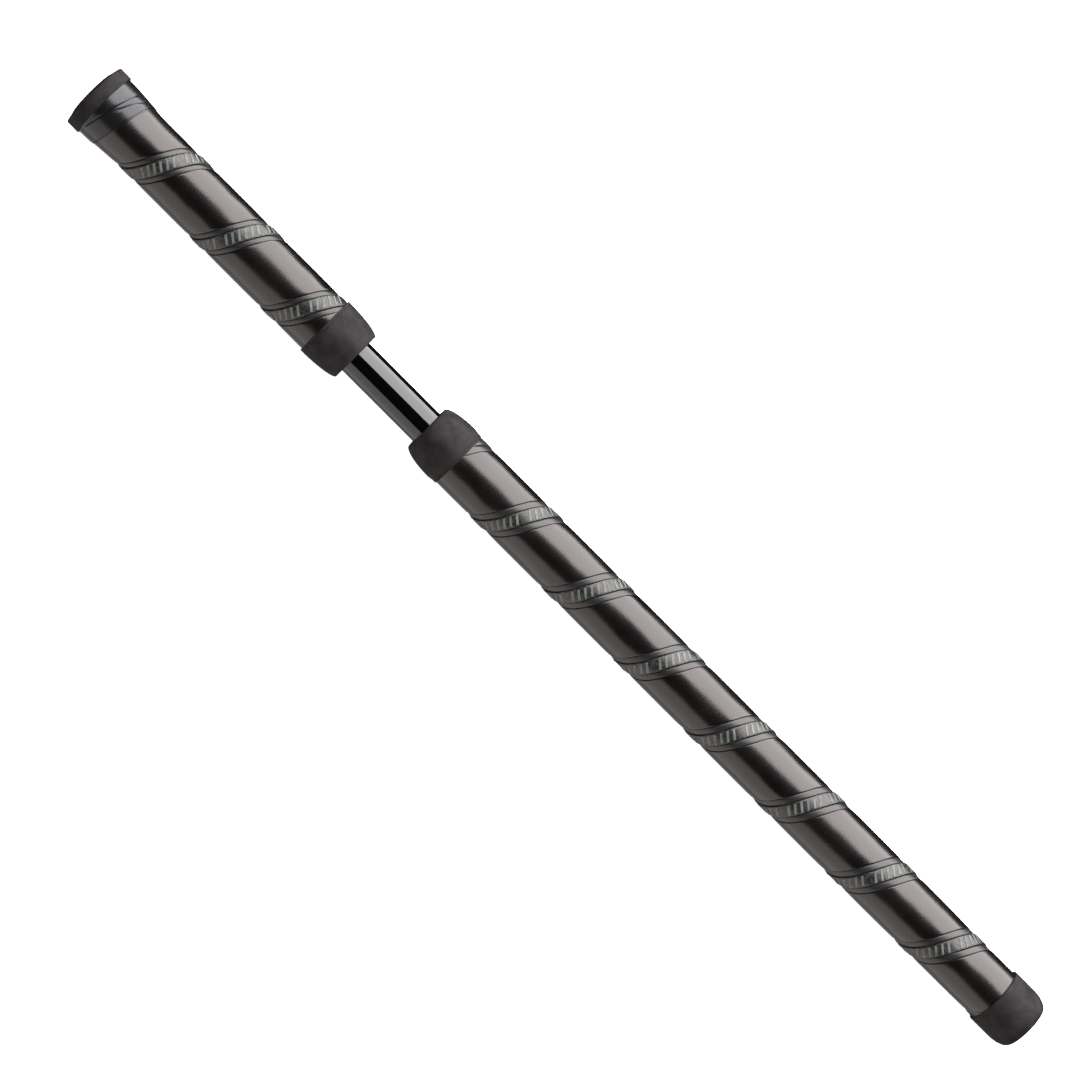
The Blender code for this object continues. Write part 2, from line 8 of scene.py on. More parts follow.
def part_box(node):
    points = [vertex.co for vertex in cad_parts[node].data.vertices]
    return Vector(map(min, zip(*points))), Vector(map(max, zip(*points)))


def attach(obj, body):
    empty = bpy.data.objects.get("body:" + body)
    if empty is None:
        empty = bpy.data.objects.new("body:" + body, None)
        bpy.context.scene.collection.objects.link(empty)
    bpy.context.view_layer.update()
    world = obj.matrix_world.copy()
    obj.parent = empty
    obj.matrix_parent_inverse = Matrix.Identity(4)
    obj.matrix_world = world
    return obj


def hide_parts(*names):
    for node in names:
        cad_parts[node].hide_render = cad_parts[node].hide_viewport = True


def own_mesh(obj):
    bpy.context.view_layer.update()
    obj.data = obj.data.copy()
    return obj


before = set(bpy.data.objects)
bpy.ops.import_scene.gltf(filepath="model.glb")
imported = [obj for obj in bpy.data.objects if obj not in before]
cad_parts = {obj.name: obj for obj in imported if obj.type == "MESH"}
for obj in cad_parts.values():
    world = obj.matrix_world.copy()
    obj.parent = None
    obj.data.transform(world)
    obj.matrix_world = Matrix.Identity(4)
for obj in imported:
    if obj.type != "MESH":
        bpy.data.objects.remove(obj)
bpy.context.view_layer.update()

# A golf swing trainer stick, lying on its side. World X runs along the shaft, from the capped butt of
# the short upper handle to the capped tip of the long lower grip. Lengths are in metres.
MM = 0.001

# The view: a long lens high above the stick, a little towards the butt, so that the tip leans away.
# It is turned so that the stick runs from the upper left corner down to the lower right one.
shaft_low, shaft_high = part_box("shaft")
AXIS_HEIGHT = (shaft_low.z + shaft_high.z) / 2
STICK_SLANT = math.radians(45.03)
eye = Vector((-0.12168, 0.00038, AXIS_HEIGHT + 1.5418))
looked_at = Vector((-0.01388, 0.00038, AXIS_HEIGHT))
ahead = (looked_at - eye).normalized()
along_stick = Vector((1.0, 0.0, 0.0))
along_stick = (along_stick - along_stick.dot(ahead) * ahead).normalized()
across_stick = along_stick.cross(ahead)
to_the_right = along_stick * math.cos(STICK_SLANT) + across_stick * math.sin(STICK_SLANT)
upwards = across_stick * math.cos(STICK_SLANT) - along_stick * math.sin(STICK_SLANT)
lens = bpy.data.cameras.new("view_from_above")
lens.sensor_width = 36.0
lens.lens = 130.0
lens.clip_start = 0.01
camera = bpy.data.objects.new("view_from_above", lens)
camera.matrix_world = Matrix.Translation(eye) @ Matrix(
    (to_the_right, upwards, -ahead)
).transposed().to_4x4()
bpy.context.scene.collection.objects.link(camera)
bpy.context.scene.camera = camera


# The shaft: a steel golf tube, ground round and finished in gloss black, with broken edges. It runs
# from inside the upper handle, bare across the gap, and right through the long grip to its tip.
ROUND_SIDES = 128
SHAFT_RADIUS = 7.62 * MM
SHAFT_BORE_RADIUS = 6.42 * MM
EDGE_BREAK = 0.35 * MM


def add_piece(name, mesh, body, slot, *stands_for):
    """Puts a finished mesh in the scene, on its body, in place of the plain solids it stands for."""
    piece = bpy.data.objects.new(name, mesh)
    bpy.context.scene.collection.objects.link(piece)
    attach(piece, body)
    if stands_for:
        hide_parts(*stands_for)
    return piece


def settle(shape, mesh, sharp_from=35):
    """Turns a shape's faces outwards, writes it to its mesh, and shades it smooth up to this angle."""
    bmesh.ops.recalc_face_normals(shape, faces=shape.faces)
    shape.to_mesh(mesh)
    shape.free()
    mesh.shade_smooth()
    mesh.set_sharp_from_angle(angle=math.radians(sharp_from))


def on_axis(x, radius, angle):
    """The point at this distance from the shaft's axis. At angle 0 it lies towards +Y, at 90 degrees up."""
    return x, radius * math.cos(angle), AXIS_HEIGHT + radius * math.sin(angle)


def turned(name, outline, material):
    """A mesh turned about the shaft's axis from (x, radius) points. An outline that leaves the axis and
    comes back to it is solid, and any other closes into a ring."""
    shape = bmesh.new()
    rings = []
    for x, radius in outline:
        count = 1 if radius == 0 else ROUND_SIDES
        angles = [2 * math.pi * side / ROUND_SIDES for side in range(count)]
        rings.append([shape.verts.new(on_axis(x, radius, angle)) for angle in angles])
    if outline[0][1] > 0:
        rings.append(rings[0])
    for one, other in zip(rings, rings[1:]):
        for side in range(ROUND_SIDES):
            following = side + 1
            corners = [
                one[side % len(one)],
                one[following % len(one)],
                other[following % len(other)],
                other[side % len(other)],
            ]
            shape.faces.new(list(dict.fromkeys(corners)))
    mesh = bpy.data.meshes.new(name)
    settle(shape, mesh)
    mesh.materials.append(material)
    return mesh


def add_node(tree, kind, feeds=None, out=0, **settings):
    """Adds a node to a material or a Geometry Nodes tree, feeds its inputs with values or with other
    nodes' sockets, and returns one of its outputs."""
    node = tree.nodes.new(kind)
    for setting, value in settings.items():
        setattr(node, setting, value)
    for socket, value in (feeds or {}).items():
        if isinstance(value, bpy.types.NodeSocket):
            tree.links.new(value, node.inputs[socket])
        else:
            node.inputs[socket].default_value = value
    return node.outputs[out]


def new_finish(name, **shader_values):
    """A material with its shader's constants set: returns it, its tree and its shader."""
    material = bpy.data.materials.new(name)
    material.use_nodes = True
    shader = material.node_tree.nodes["Principled BSDF"]
    for socket, value in shader_values.items():
        shader.inputs[socket.replace("_", " ")].default_value = value
    return material, material.node_tree, shader


def noise(tree, where, scale, detail=3.0, roughness=0.55):
    """A cloudy pattern whose spots are 1 / scale of a metre across."""
    feeds = {"Vector": where, "Scale": scale, "Detail": detail, "Roughness": roughness}
    return add_node(tree, "ShaderNodeTexNoise", feeds, "Fac")


def between(tree, fac, low=0.0, high=1.0, from_low=0.3, from_high=0.7):
    """Spreads the middle range of a noise, or the range given, from low to high."""
    feeds = {0: fac, 1: from_low, 2: from_high, 3: low, 4: high}
    return add_node(tree, "ShaderNodeMapRange", feeds)


def blended(tree, fac, dark, light):
    """Mixes two colours, each a tuple or another node's socket."""
    feeds = {"Factor": fac, 6: (*dark, 1.0) if isinstance(dark, tuple) else dark}
    feeds[7] = (*light, 1.0) if isinstance(light, tuple) else light
    return add_node(tree, "ShaderNodeMix", feeds, 2, data_type="RGBA")


def stretched(tree, scale):
    """Object coordinates, drawn out by the scale along each axis."""
    coordinates = add_node(tree, "ShaderNodeTexCoord", out="Object")
    return add_node(tree, "ShaderNodeMapping", {"Vector": coordinates, "Scale": scale})


def raised(tree, shader, height, depth, below=None):
    """Bump of this depth in metres on the shader, on top of any bump below it."""
    feeds = {"Strength": 1.0, "Distance": depth, "Height": height}
    if below:
        feeds["Normal"] = below
    normal = add_node(tree, "ShaderNodeBump", feeds)
    tree.links.new(normal, shader.inputs["Normal"])
    return normal


# The marks' numbers are how many there are to a metre, along X, Y and Z. WORN_RANGE is the middle range
# of two noises multiplied.
SHAFT_BLACKS = (0.0005, 0.0005, 0.0006), (0.0012, 0.0012, 0.0013)
GRINDING_LINES = (2600.0, 60.0, 60.0)
GRINDING_DEPTH = 0.0004 * MM
SLIDE_MARKS = (12.0, 700.0, 700.0)
DUST_SPECKS = 900.0
GLOSS_ROUGHNESS = (0.055, 0.12)
WORN_RANGE = (0.15, 0.4)
UNSTRETCHED = (1.0, 1.0, 1.0)


def black_shaft_finish():
    """Gloss black over ground steel: fine grinding lines round it and faint slide marks along it."""
    material, tree, shader = new_finish("gloss_black_shaft")
    grinding = noise(tree, stretched(tree, GRINDING_LINES), 1.0, 2.0)
    sliding = noise(tree, stretched(tree, SLIDE_MARKS), 1.0, 4.0)
    dust = noise(tree, stretched(tree, UNSTRETCHED), DUST_SPECKS, 2.0)
    colour = blended(tree, between(tree, sliding), *SHAFT_BLACKS)
    tree.links.new(colour, shader.inputs["Base Color"])
    marks = add_node(tree, "ShaderNodeMath", {0: sliding, 1: dust}, operation="MULTIPLY")
    roughness = between(tree, marks, *GLOSS_ROUGHNESS, *WORN_RANGE)
    tree.links.new(roughness, shader.inputs["Roughness"])
    raised(tree, shader, grinding, GRINDING_DEPTH)
    return material


shaft_outline = [
    (shaft_high.x, SHAFT_RADIUS - EDGE_BREAK),
    (shaft_high.x - EDGE_BREAK, SHAFT_RADIUS),
    (shaft_low.x + EDGE_BREAK, SHAFT_RADIUS),
    (shaft_low.x, SHAFT_RADIUS - EDGE_BREAK),
    (shaft_low.x, SHAFT_BORE_RADIUS),
    (shaft_high.x, SHAFT_BORE_RADIUS),
]
steel_shaft = turned("steel_shaft", shaft_outline, black_shaft_finish())
add_piece("steel_shaft", steel_shaft, "long_grip", "black_shaft", "shaft")


# What the grips are built on: a closed-cell foam sleeve round the shaft under the long grip, and a
# second one that fills out the flare of the upper handle. Both are bonded on and hidden by the wrap.
def grained_finish(
    name, dark, light, patch, roughness, grain, depth, stretch=UNSTRETCHED, **constants
):
    """A moulded, foamed or machined surface: soft patches of two tones and a grain, given as the size of
    a patch, the size of a grain and the grain's depth in metres."""
    material, tree, shader = new_finish(name, **constants)
    where = stretched(tree, stretch)
    patches = noise(tree, where, 1.0 / patch, 4.0)
    tree.links.new(blended(tree, between(tree, patches), dark, light), shader.inputs["Base Color"])
    speckle = noise(tree, where, 1.0 / grain, 2.0)
    tree.links.new(between(tree, speckle, *roughness), shader.inputs["Roughness"])
    raised(tree, shader, speckle, depth)
    return material


def refinish(material, *nodes):
    """Gives CAD solids that keep their own shape a finish."""
    for node in nodes:
        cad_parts[node].data.materials.clear()
        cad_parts[node].data.materials.append(material)


foam = grained_finish(
    "closed_cell_foam",
    dark=(0.045, 0.045, 0.05),
    light=(0.07, 0.07, 0.075),
    patch=9 * MM,
    roughness=(0.8, 0.95),
    grain=0.6 * MM,
    depth=0.12 * MM,
)
refinish(foam, "lower_grip_sleeve", "flare_sleeve")


# The long grip's wrap: one moulded polymer strip wound left-handed on the sleeve. Its broad face is
# smooth and slightly crowned, and along one edge runs a lighter textured band between two rails.
STEPS_PER_TURN = 96
WRAP_THICKNESS = 1.68 * MM
END_TUCK = 0.9 * MM
WELD = 0.006 * MM
wrap_low, wrap_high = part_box("lower_grip_wrap")
LOWER_GRIP_RADIUS = 12.45 * MM
LOWER_TAPER_DROP = 0.45 * MM
LOWER_TAPER_LENGTH = 60.0 * MM
LOWER_PITCH = 40.2 * MM
LOWER_BAND_PLACE = -16.45 * MM
LOWER_RAIL_EDGE = 6.25 * MM
MARK_BAND_EDGE = 3.1 * MM
MARK_BAND_RISE = 0.2 * MM
BAND_FALL_SHARE = 0.45
RAIL_DROP = 0.22 * MM
RAIL_PILLOW = 0.08 * MM
CROWN_DROP = 0.1 * MM
GROOVE_WIDTH = 0.5 * MM
RAIL_GROOVE_DEPTH = 0.22 * MM
BAND_GROOVE_DEPTH = 0.4 * MM
GROOVE_POINTS = (-0.5, -0.38, -0.24, -0.1, 0.1, 0.24, 0.38, 0.5)
SECTION_STEPS = 52


def strip_section(name, pitch, rail_edge):
    """The strip cut across, as a chain of points from one edge to the other: x is the distance from the
    middle of its textured band, measured along the handle, and z the height."""
    grooves = [
        (-rail_edge, RAIL_GROOVE_DEPTH),
        (-MARK_BAND_EDGE, BAND_GROOVE_DEPTH),
        (MARK_BAND_EDGE, BAND_GROOVE_DEPTH),
        (rail_edge, RAIL_GROOVE_DEPTH),
    ]
    across = [-pitch / 2 + pitch * step / SECTION_STEPS for step in range(SECTION_STEPS + 1)]
    across = [x for x in across if all(abs(x - centre) > GROOVE_WIDTH for centre, _ in grooves)]
    for centre, _ in grooves:
        across += [centre + GROOVE_WIDTH * share for share in GROOVE_POINTS]
    face_middle = pitch / 2
    face_half = face_middle - rail_edge
    points = []
    for x in sorted(across):
        away = abs(x)
        if away < MARK_BAND_EDGE:
            height = MARK_BAND_RISE * (1 - BAND_FALL_SHARE * (away / MARK_BAND_EDGE) ** 4)
        elif away < rail_edge:
            pillow = (2 * away - rail_edge - MARK_BAND_EDGE) / (rail_edge - MARK_BAND_EDGE)
            height = -RAIL_DROP - RAIL_PILLOW * pillow**2
        else:
            height = -CROWN_DROP * ((face_middle - away) / face_half) ** 6
        for centre, depth in grooves:
            share = min(abs(x - centre) / (GROOVE_WIDTH / 2), 1.0)
            height -= depth * (0.5 + 0.5 * math.cos(math.pi * share))
        points.append((x, 0.0, height))
    mesh = bpy.data.meshes.new(name)
    mesh.from_pydata(points, [(i, i + 1) for i in range(len(points) - 1)], [])
    return mesh


HANDLE_SIZES = (
    "Start",
    "End",
    "Grip radius",
    "Flare rise",
    "Flare length",
    "Taper drop",
    "Taper length",
    "Axis height",
    "Pitch",
    "Band place",
)


def new_tree(name, sizes, counts):
    """A Geometry Nodes tree with a named input for each size and count: returns it, what is given to it,
    and a function that adds a step of arithmetic to it."""
    tree = bpy.data.node_groups.new(name, "GeometryNodeTree")
    kinds = [("Geometry", "Geometry")] + [(size, "Float") for size in sizes]
    kinds += [(count, "Int") for count in counts] + [("Material", "Material")]
    for label, kind in kinds:
        tree.interface.new_socket(label, in_out="INPUT", socket_type="NodeSocket" + kind)
    tree.interface.new_socket("Geometry", in_out="OUTPUT", socket_type="NodeSocketGeometry")
    given = tree.nodes.new("NodeGroupInput").outputs

    def sum_of(operation, *values):
        """One step of arithmetic on these values."""
        return add_node(tree, "ShaderNodeMath", dict(enumerate(values)), operation=operation)

    return tree, given, sum_of


def roll_up(tree, given, sum_of, flat_work):
    """Rolls flat work round the handle: x stays, y becomes the way round, z the height off the skin."""
    position = add_node(tree, "GeometryNodeInputPosition")
    x, y, z = add_node(tree, "ShaderNodeSeparateXYZ", {0: position}).node.outputs
    from_start = sum_of("SUBTRACT", x, given["Start"])
    to_end = sum_of("SUBTRACT", given["End"], x)
    flare_share = sum_of("MINIMUM", sum_of("DIVIDE", from_start, given["Flare length"]), 1.0)
    ease = sum_of("MULTIPLY_ADD", sum_of("COSINE", sum_of("MULTIPLY", flare_share, math.pi)), 0.5, 0.5)
    taper_share = sum_of("MINIMUM", sum_of("DIVIDE", to_end, given["Taper length"]), 1.0)
    taper = sum_of("MULTIPLY", sum_of("SUBTRACT", 1.0, taper_share), given["Taper drop"])
    straight = sum_of("SUBTRACT", given["Grip radius"], taper)
    skin = sum_of("MULTIPLY_ADD", ease, given["Flare rise"], straight)
    near_end = sum_of("DIVIDE", sum_of("MINIMUM", from_start, to_end), END_TUCK)
    tucked = sum_of("MAXIMUM", sum_of("MINIMUM", near_end, 1.0), 0.0)
    radius = sum_of("MULTIPLY_ADD", z, tucked, skin)
    angle = sum_of("DIVIDE", y, given["Grip radius"])
    outward = sum_of("MULTIPLY", radius, sum_of("COSINE", angle))
    upward = sum_of("MULTIPLY_ADD", radius, sum_of("SINE", angle), given["Axis height"])
    rolled = add_node(tree, "ShaderNodeCombineXYZ", {0: x, 1: outward, 2: upward})
    return add_node(tree, "GeometryNodeSetPosition", {"Geometry": flat_work, "Position": rolled})


def finish_tree(tree, given, work):
    """Ends a tree in plain geometry with its material."""
    plain = add_node(tree, "GeometryNodeRealizeInstances", {0: work})
    paint = {"Geometry": plain, "Material": given["Material"]}
    painted = add_node(tree, "GeometryNodeSetMaterial", paint)
    tree.links.new(painted, tree.nodes.new("NodeGroupOutput").inputs[0])


def strip_winding_tree():
    """Sweeps the strip's section along its length and winds it on a handle, its edges welded turn to turn.
    It leaves each point's place on the flat strip in a UV map."""
    tree, given, sum_of = new_tree("wind_strip_on_handle", HANDLE_SIZES, ("Steps per turn", "Turns"))
    rows = add_node(tree, "GeometryNodeAttributeDomainSize", {0: given["Geometry"]}, component="MESH")
    steps = sum_of("MULTIPLY_ADD", given["Turns"], given["Steps per turn"], 1.0)
    strip = add_node(tree, "GeometryNodeMeshGrid", {"Vertices X": rows, "Vertices Y": steps})
    index = add_node(tree, "GeometryNodeInputIndex")
    row = sum_of("FLOOR", sum_of("DIVIDE", sum_of("ADD", index, 0.5), steps))
    step = sum_of("SUBTRACT", index, sum_of("MULTIPLY", row, steps))
    drawn = add_node(tree, "GeometryNodeInputPosition")
    section = {"Geometry": given["Geometry"], "Value": drawn, "Index": row}
    point = add_node(tree, "GeometryNodeSampleIndex", section, data_type="FLOAT_VECTOR")
    across, _, height = add_node(tree, "ShaderNodeSeparateXYZ", {0: point}).node.outputs
    turn = sum_of("DIVIDE", step, given["Steps per turn"])
    wound_back = sum_of("MULTIPLY", turn, given["Pitch"])
    along = sum_of("SUBTRACT", sum_of("ADD", given["Band place"], across), wound_back)
    kept = sum_of("MINIMUM", sum_of("MAXIMUM", along, given["Start"]), given["End"])
    around = sum_of("MULTIPLY", sum_of("MULTIPLY", turn, 2 * math.pi), given["Grip radius"])
    flat = add_node(tree, "ShaderNodeCombineXYZ", {0: kept, 1: around, 2: height})
    strip = add_node(tree, "GeometryNodeSetPosition", {"Geometry": strip, "Position": flat})
    kept_across = sum_of("ADD", across, sum_of("SUBTRACT", kept, along))
    on_strip = add_node(tree, "ShaderNodeCombineXYZ", {0: kept_across, 1: around})
    note = {"Geometry": strip, "Name": "on_strip", "Value": on_strip}
    strip = add_node(
        tree, "GeometryNodeStoreNamedAttribute", note, data_type="FLOAT_VECTOR", domain="POINT"
    )
    wound = roll_up(tree, given, sum_of, strip)
    noted = add_node(
        tree, "GeometryNodeInputNamedAttribute", {"Name": "on_strip"}, data_type="FLOAT_VECTOR"
    )
    uv = {"Geometry": wound, "Name": "strip_map", "Value": noted}
    wound = add_node(tree, "GeometryNodeStoreNamedAttribute", uv, data_type="FLOAT2", domain="CORNER")
    wound = add_node(tree, "GeometryNodeRemoveAttribute", {"Geometry": wound, "Name": "on_strip"})
    welded = add_node(tree, "GeometryNodeMergeByDistance", {"Geometry": wound, "Distance": WELD})
    finish_tree(tree, given, welded)
    return tree


def made_by(tree, name, drawn, values):
    """Runs a tree on a drawn mesh with its inputs set, and returns the result as a plain mesh."""
    source = bpy.data.objects.new(name + "_drawn", drawn)
    bpy.context.scene.collection.objects.link(source)
    modifier = source.modifiers.new(tree.name, "NODES")
    modifier.node_group = tree
    for socket in tree.interface.items_tree:
        if socket.in_out == "INPUT" and socket.name in values:
            modifier[socket.identifier] = values[socket.name]
    graph = bpy.context.evaluated_depsgraph_get()
    mesh = bpy.data.meshes.new_from_object(
        source.evaluated_get(graph), preserve_all_data_layers=True, depsgraph=graph
    )
    source.modifiers.remove(modifier)
    bpy.data.objects.remove(source)
    mesh.name = name
    return mesh


def close_sleeve(mesh, inner_side):
    """Turns the open ends of a rolled skin inwards, and joins them by a wall of (x, radius) points."""
    shape = bmesh.new()
    shape.from_mesh(mesh)
    loops = []
    for x, _ in (inner_side[0], inner_side[-1]):
        edges = [edge for edge in shape.edges if edge.is_boundary]
        loops.append([edge for edge in edges if all(abs(v.co.x - x) < WELD for v in edge.verts)])
    loop = loops[0]
    for x, radius in inner_side:
        grown = bmesh.ops.extrude_edge_only(shape, edges=loop)["geom"]
        loop = [part for part in grown if isinstance(part, bmesh.types.BMEdge)]
        for vert in (part for part in grown if isinstance(part, bmesh.types.BMVert)):
            angle = math.atan2(vert.co.z - AXIS_HEIGHT, vert.co.y)
            vert.co = on_axis(x, radius, angle)
    bmesh.ops.bridge_loops(shape, edges=loop + loops[1])
    settle(shape, mesh, sharp_from=60)


def within(tree, value, edge, soft):
    """1 where the value is nearer to 0 than the edge, and 0 beyond it, with a soft step."""
    size = add_node(tree, "ShaderNodeMath", {0: value}, operation="ABSOLUTE")
    return between(tree, size, 1.0, 0.0, edge - soft, edge + soft)


# Dark and light tones of the strip's three finishes, then how many marks of each kind to a metre.
FACE_TONES = (0.0016, 0.0014, 0.0013), (0.0032, 0.0028, 0.0026)
RAIL_TONES = (0.005, 0.005, 0.006), (0.010, 0.010, 0.012)
BAND_TONES = (0.0015, 0.0018, 0.0015), (0.022, 0.025, 0.0225)
SMUDGES = 45.0
SPECKLES = 800.0
SPECKLE_RANGE = (0.42, 0.62)
WAVES, WAVE_DEPTH = 55.0, 1.0 * MM
GRAINS, GRAIN_DEPTH = 1900.0, 0.012 * MM
PORES, PORE_DEPTH = 1100.0, 0.008 * MM
HATCHES, HATCH_DEPTH = 450.0, 0.035 * MM
HATCH_SLANT = 0.48
FACE_ROUGHNESS = (0.24, 0.32)
DULL_ROUGHNESS = 0.4
FINISH_EDGE = 0.12 * MM


def wrap_finish(name, rail_edge):
    """The strip's polymer: tacky satin black with fine pores and slow waves, duller blue-grey rails, and
    a speckled grey-green band with a hatched texture."""
    material, tree, shader = new_finish(
        name, Specular_IOR_Level=0.48, Specular_Tint=(1.0, 0.93, 0.915, 1.0)
    )
    strip = add_node(tree, "ShaderNodeUVMap", uv_map="strip_map")
    across = add_node(tree, "ShaderNodeSeparateXYZ", {0: strip})
    body = stretched(tree, UNSTRETCHED)
    smudges = noise(tree, body, SMUDGES, 5.0)
    grain = noise(tree, body, GRAINS, 2.0)
    pores = add_node(tree, "ShaderNodeTexVoronoi", {"Vector": body, "Scale": PORES}, "Distance")
    in_rails = within(tree, across, rail_edge, FINISH_EDGE)
    in_band = within(tree, across, MARK_BAND_EDGE, FINISH_EDGE)
    face = blended(tree, between(tree, smudges), *FACE_TONES)
    rail = blended(tree, between(tree, smudges), *RAIL_TONES)
    speckle = noise(tree, body, SPECKLES, 3.0, 0.7)
    band = blended(tree, between(tree, speckle, 0.0, 1.0, *SPECKLE_RANGE), *BAND_TONES)
    colour = blended(tree, in_band, blended(tree, in_rails, face, rail), band)
    tree.links.new(colour, shader.inputs["Base Color"])
    wear = add_node(tree, "ShaderNodeMath", {0: smudges, 1: grain}, operation="MULTIPLY")
    roughness = between(tree, wear, *FACE_ROUGHNESS, *WORN_RANGE)
    for dull in (in_rails, in_band):
        roughness = add_node(tree, "ShaderNodeMix", {0: dull, 2: roughness, 3: DULL_ROUGHNESS})
    tree.links.new(roughness, shader.inputs["Roughness"])
    slant = {"Vector": strip, "Rotation": (0.0, 0.0, HATCH_SLANT)}
    lines = {"Vector": add_node(tree, "ShaderNodeMapping", slant), "Scale": HATCHES, "Distortion": 0.6}
    hatch = add_node(tree, "ShaderNodeTexWave", lines, "Fac")
    hatch_in_band = add_node(tree, "ShaderNodeMath", {0: hatch, 1: in_band}, operation="MULTIPLY")
    waves = raised(tree, shader, noise(tree, body, WAVES, 1.0), WAVE_DEPTH)
    fine = raised(tree, shader, grain, GRAIN_DEPTH, waves)
    pitted = raised(tree, shader, pores, PORE_DEPTH, fine)
    raised(tree, shader, hatch_in_band, HATCH_DEPTH, pitted)
    return material


def wound_wrap(name, rail_edge, finish, sizes, inner_side):
    """Winds a strip from beyond the handle's +X end to beyond its -X end, and closes it into a sleeve."""
    beyond = math.ceil((sizes["End"] - sizes["Band place"]) / sizes["Pitch"] + 1)
    first_place = sizes["Band place"] + beyond * sizes["Pitch"]
    turns = math.ceil((first_place - sizes["Start"]) / sizes["Pitch"] + 1)
    wound = {"Band place": first_place, "Turns": turns, "Steps per turn": STEPS_PER_TURN}
    values = {**sizes, **wound, "Material": finish}
    section = strip_section(name + "_section", sizes["Pitch"], rail_edge)
    mesh = made_by(strip_winding, name, section, values)
    close_sleeve(mesh, inner_side)
    return mesh


strip_winding = strip_winding_tree()
lower_sizes = {
    "Start": wrap_low.x,
    "End": wrap_high.x,
    "Grip radius": LOWER_GRIP_RADIUS,
    "Flare rise": 0.0,
    "Flare length": 1.0,
    "Taper drop": LOWER_TAPER_DROP,
    "Taper length": LOWER_TAPER_LENGTH,
    "Axis height": AXIS_HEIGHT,
    "Pitch": LOWER_PITCH,
    "Band place": LOWER_BAND_PLACE,
}
lower_inner_radius = LOWER_GRIP_RADIUS - LOWER_TAPER_DROP - WRAP_THICKNESS
lower_wrap = wound_wrap(
    "lower_wound_wrap",
    LOWER_RAIL_EDGE,
    wrap_finish("lower_wrap_polymer", LOWER_RAIL_EDGE),
    lower_sizes,
    [(wrap_low.x, lower_inner_radius), (wrap_high.x, lower_inner_radius)],
)
add_piece("lower_wound_wrap", lower_wrap, "long_grip", "grip_wrap", "lower_grip_wrap")


# The ribs on the textured band: short slanted bars of dark rubber, moulded across the band in groups
# of six. They give a thumb something to feel, and they lie all the way along both strips.
RIB_LENGTH = 4.5 * MM
RIB_WIDTH = 1.2 * MM
RIB_HEIGHT = 0.34 * MM
RIB_SLANT = math.radians(12)
RIB_SPACING = 2.7 * MM
RIBS_PER_GROUP = 6
RIB_TOP_LENGTH_SHARE = 0.88
RIB_TOP_WIDTH_SHARE = 0.72
RIB_END_MARGIN = 3 * MM


def rib_laying_tree():
    """Lays ribs along the flat strip's band, leaves a gap after each group, and rolls them up with it."""
    sizes = HANDLE_SIZES + ("First rib", "Spacing")
    tree, given, sum_of = new_tree("lay_ribs_on_band", sizes, ("Ribs", "Ribs per group"))
    index = add_node(tree, "GeometryNodeInputIndex")
    group = sum_of("FLOOR", sum_of("DIVIDE", index, given["Ribs per group"]))
    spaces = sum_of("ADD", index, group)
    distance = sum_of("MULTIPLY_ADD", spaces, given["Spacing"], given["First rib"])
    girth = sum_of("MULTIPLY", given["Grip radius"], 2 * math.pi)
    lay = sum_of("ARCTAN2", girth, given["Pitch"])
    x = sum_of("SUBTRACT", given["Band place"], sum_of("MULTIPLY", distance, sum_of("COSINE", lay)))
    y = sum_of("MULTIPLY", distance, sum_of("SINE", lay))
    place = add_node(tree, "ShaderNodeCombineXYZ", {0: x, 1: y})
    marks = add_node(tree, "GeometryNodeMeshLine", {"Count": given["Ribs"]})
    marks = add_node(tree, "GeometryNodeSetPosition", {"Geometry": marks, "Position": place})
    turn = add_node(tree, "ShaderNodeCombineXYZ", {2: sum_of("SUBTRACT", math.pi / 2, lay)})
    feeds = {"Points": marks, "Instance": given["Geometry"], "Rotation": turn}
    laid = add_node(tree, "GeometryNodeInstanceOnPoints", feeds)
    laid = add_node(tree, "GeometryNodeRealizeInstances", {0: laid})
    finish_tree(tree, given, roll_up(tree, given, sum_of, laid))
    return tree


def rib():
    """One rib: a low bar with its top edges broken, slanted, and cut in four to bend with the strip."""
    shape = bmesh.new()
    bmesh.ops.create_cube(shape, size=1.0)
    long_edges = [e for e in shape.edges if abs(e.verts[0].co.x - e.verts[1].co.x) > 0.5]
    bmesh.ops.subdivide_edges(shape, edges=long_edges, cuts=3)
    for vert in shape.verts:
        top = vert.co.z > 0
        vert.co.x *= RIB_LENGTH * (RIB_TOP_LENGTH_SHARE if top else 1.0)
        vert.co.y *= RIB_WIDTH * (RIB_TOP_WIDTH_SHARE if top else 1.0)
        vert.co.y += vert.co.x * math.tan(RIB_SLANT)
        vert.co.z = RIB_HEIGHT if top else 0.0
    mesh = bpy.data.meshes.new("rib")
    shape.to_mesh(mesh)
    shape.free()
    return mesh


def ribs_on(name, sizes, first_x, last_x):
    """Ribs along the band, between two stations on the handle, in whole and part groups."""
    lay = math.atan2(2 * math.pi * sizes["Grip radius"], sizes["Pitch"])
    beyond = math.ceil((sizes["End"] - sizes["Band place"]) / sizes["Pitch"])
    first_place = sizes["Band place"] + beyond * sizes["Pitch"]
    room = (first_x - last_x) / math.cos(lay) / RIB_SPACING
    values = {
        **sizes,
        "Band place": first_place,
        "First rib": (first_place - first_x) / math.cos(lay),
        "Spacing": RIB_SPACING,
        "Ribs": math.floor(room * RIBS_PER_GROUP / (RIBS_PER_GROUP + 1)),
        "Ribs per group": RIBS_PER_GROUP,
        "Material": rib_rubber,
    }
    mesh = made_by(rib_laying, name, rib(), values)
    shape = bmesh.new()
    shape.from_mesh(mesh)
    settle(shape, mesh, sharp_from=30)
    return mesh


